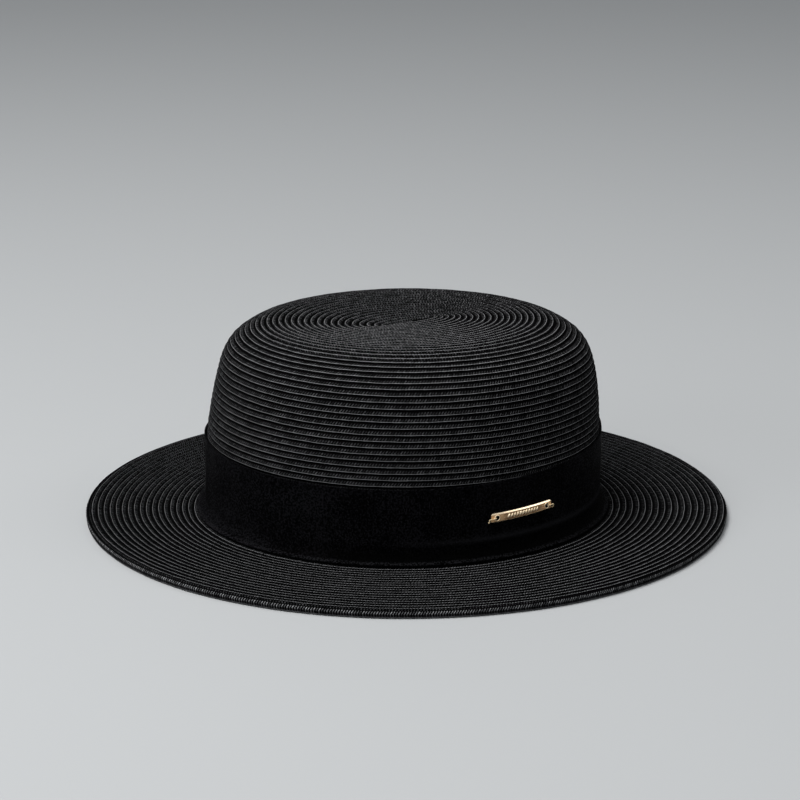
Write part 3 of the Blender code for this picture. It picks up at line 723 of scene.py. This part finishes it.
def plate_face(mat):
    """The plate with rounded corners, bevelled long edges, and a hole near each end."""
    half, tall, corner, roll = PLATE_LONG / 2, PLATE_HIGH / 2, 0.0008, 0.00010
    bevel = 0.00058
    curve = bpy.data.curves.new("plate_outline", "CURVE")
    curve.dimensions, curve.fill_mode = "2D", "BOTH"
    curve.extrude, curve.bevel_depth, curve.bevel_resolution = PLATE_THICK / 2 - roll, roll, 1
    curve.offset = -roll
    outline = []
    for cx, cy, first in ((half, tall, 0), (-half, tall, 90), (-half, -tall, 180), (half, -tall, 270)):
        for k in range(7):
            t = math.radians(first + 15 * k)
            outline.append((cx - math.copysign(corner, cx) + corner * math.cos(t), cy - math.copysign(corner, cy) + corner * math.sin(t)))
    holes = [
        [(side * (half - HOLE_INSET) + PLATE_HOLE / 2 * math.cos(t), PLATE_HOLE / 2 * math.sin(t)) for t in np.linspace(0, 2 * math.pi, 25)[:-1]]
        for side in (-1, 1)
    ]
    for ring in (outline, *holes):
        spline = curve.splines.new("POLY")
        spline.points.add(len(ring) - 1)
        for point, (x, y) in zip(spline.points, ring):
            point.co = (x, y, 0.0, 1.0)
        spline.use_cyclic_u = True
    holder = bpy.data.objects.new("plate_outline", curve)
    bpy.context.scene.collection.objects.link(holder)
    bpy.context.view_layer.update()
    mesh = bpy.data.meshes.new_from_object(holder.evaluated_get(bpy.context.evaluated_depsgraph_get()))
    bpy.data.objects.remove(holder)
    bm = bmesh.new()
    bm.from_mesh(mesh)
    bmesh.ops.remove_doubles(bm, verts=bm.verts, dist=1e-6)
    for x in np.arange(-half + 0.0015, half, 0.0012):
        bmesh.ops.bisect_plane(bm, geom=bm.verts[:] + bm.edges[:] + bm.faces[:], plane_co=(x, 0, 0), plane_no=(1, 0, 0))
    for y in (bevel - tall, -0.0012, -0.0006, 0.0, 0.0006, 0.0012, tall - bevel):
        bmesh.ops.bisect_plane(bm, geom=bm.verts[:] + bm.edges[:] + bm.faces[:], plane_co=(0, y, 0), plane_no=(0, 1, 0))
    bmesh.ops.remove_doubles(bm, verts=bm.verts, dist=1e-5)
    bmesh.ops.dissolve_degenerate(bm, dist=5e-6, edges=bm.edges)
    bmesh.ops.triangulate(bm, faces=bm.faces[:], quad_method="BEAUTY", ngon_method="BEAUTY")
    bm.verts.index_update()
    flat_at = [(vert.co.x, vert.co.y) for vert in bm.verts]
    for vert in bm.verts:
        x, y, z = vert.co
        front = (z + PLATE_THICK / 2) / PLATE_THICK
        over = max(abs(y) - tall + bevel, 0.0)
        vert.co = on_plate(x, y, z + PLATE_THICK / 2 - front * over)
    bmesh.ops.recalc_face_normals(bm, faces=bm.faces[:])
    layer = bm.loops.layers.uv.get("weave") or bm.loops.layers.uv.new("weave")
    for face in bm.faces:
        for loop in face.loops:
            loop[layer].uv = flat_at[loop.vert.index]
    bm.to_mesh(mesh)
    bm.free()
    mesh.name = "plate_face"
    mesh.materials.clear()
    mesh.materials.append(mat)
    mesh.shade_smooth()
    obj = bpy.data.objects.new("plate_face", mesh)
    bpy.context.scene.collection.objects.link(obj)
    obj.data.set_sharp_from_angle(angle=math.radians(22))
    return obj


dress(plate_face(PLATE), "name_plate")


def ornament():
    """A row of small raised slanting lozenges along the plate's middle, and a rim round each hole."""
    points, quads = [], []

    def lump(s, up, long_, high, sides, lift):
        base = len(points)
        for scale, o in ((1.0, PLATE_THICK - 0.00015), (1.0, PLATE_THICK + 0.1 * lift), (0.30, PLATE_THICK + lift)):
            for k in range(sides):
                t = 2 * math.pi * k / sides
                rise = scale * high * math.sin(t)
                points.append(on_plate(s + scale * long_ * math.cos(t) + 0.45 * rise, up + rise, o))
        points.append(on_plate(s, up, PLATE_THICK + lift))
        points.append(on_plate(s, up, PLATE_THICK - 0.00015))
        top, low = len(points) - 2, len(points) - 1
        for k in range(sides):
            m = (k + 1) % sides
            for ring in (0, 1):
                quads.append((base + ring * sides + k, base + ring * sides + m, base + (ring + 1) * sides + m, base + (ring + 1) * sides + k))
        for k in range(0, sides, 2):
            a_, b_, c_ = base + 2 * sides + k, base + 2 * sides + (k + 1) % sides, base + 2 * sides + (k + 2) % sides
            quads.append((a_, b_, c_, top))
            a_, b_, c_ = base + k, base + (k + 1) % sides, base + (k + 2) % sides
            quads.append((c_, b_, a_, low))

    count = 11
    for i in range(count):
        lump((i - (count - 1) / 2) * 0.0017, 0.0, 0.00062, 0.00120, 6, 0.00042)
    # a raised rim round each hole
    sides = 24
    for side in (-1, 1):
        base = len(points)
        for k in range(sides):
            t = 2 * math.pi * k / sides
            for reach, o in ((0.00002, PLATE_THICK - 0.0002), (0.00006, PLATE_THICK + 0.00020), (0.00030, PLATE_THICK + 0.00022), (0.00048, PLATE_THICK - 0.0002)):
                r = PLATE_HOLE / 2 + reach
                points.append(on_plate(side * (PLATE_LONG / 2 - HOLE_INSET) + r * math.cos(t), r * math.sin(t), o))
        for k in range(sides):
            for j in range(4):
                a_, b_ = base + 4 * k, base + 4 * ((k + 1) % sides)
                quads.append((a_ + j, b_ + j, b_ + (j + 1) % 4, a_ + (j + 1) % 4))
    return np.array(points), np.array(quads), None


marks = build("plate_ornament", [ornament()], GOLD, smooth=False)
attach(marks, "root")

# ------------------------------------------------------------------ floor, light, camera
floor_mesh = bpy.data.meshes.new("floor")
floor_mesh.from_pydata([(-6, -6, 0), (6, -6, 0), (6, 6, 0), (-6, 6, 0)], [], [(0, 1, 2, 3)])
floor = bpy.data.objects.new("floor", floor_mesh)
bpy.context.scene.collection.objects.link(floor)
ground = Nodes("floor_paper")
ground.set(Base_Color=(0.388, 0.398, 0.408, 1.0), Roughness=0.7)
floor_mesh.materials.append(ground.mat)

world = bpy.data.worlds.new("studio")
world.use_nodes = True
world.node_tree.nodes["Background"].inputs["Color"].default_value = (0.93, 0.97, 1.0, 1.0)
world.node_tree.nodes["Background"].inputs["Strength"].default_value = 0.30
bpy.context.scene.world = world


def lamp(name, place, target, size, power, colour):
    data = bpy.data.lights.new(name, "AREA")
    data.shape = "RECTANGLE"
    data.size, data.size_y = size
    data.energy = power
    data.color = colour
    obj = bpy.data.objects.new(name, data)
    place, target = np.array(place, float), np.array(target, float)
    back = place - target
    back /= np.linalg.norm(back)
    side = np.cross((0, 0, 1), back)
    side = side / np.linalg.norm(side) if np.linalg.norm(side) > 1e-6 else np.array([1.0, 0, 0])
    up = np.cross(back, side)
    obj.matrix_world = Matrix(
        [[side[i], up[i], back[i], place[i]] for i in range(3)] + [[0, 0, 0, 1]]
    )
    bpy.context.scene.collection.objects.link(obj)


lamp("key", (-0.80, -0.30, 1.85), (0, 0, 0.05), (1.4, 1.4), 52.0, (1.0, 0.995, 0.98))
lamp("side", (-1.75, -0.75, 0.75), (0, 0, 0.05), (0.9, 0.9), 8.0, (0.97, 0.98, 1.0))
lamp("right", (1.15, -0.15, 1.25), (0, 0, 0.05), (0.6, 0.6), 4.0, (1.0, 0.99, 0.97))

eye, target, roll = np.array([-0.25101, -1.19335, 0.44615]), np.array([-0.00492, 0.0, 0.05929]), math.radians(0.6923)
ahead = (target - eye) / np.linalg.norm(target - eye)
right = np.cross(ahead, (0, 0, 1))
right /= np.linalg.norm(right)
up = np.cross(right, ahead)
right, up = math.cos(roll) * right + math.sin(roll) * up, -math.sin(roll) * right + math.cos(roll) * up
camera_data = bpy.data.cameras.new("camera")
camera_data.sensor_width = 36.0
camera_data.lens = 110.837
camera_data.clip_start = 0.05
camera = bpy.data.objects.new("camera", camera_data)
camera.matrix_world = Matrix([[right[i], up[i], -ahead[i], eye[i]] for i in range(3)] + [[0, 0, 0, 1]])
bpy.context.scene.collection.objects.link(camera)
bpy.context.scene.camera = camera
bpy.context.scene.view_settings.view_transform = "Standard"
bpy.context.scene.view_settings.look = "None"
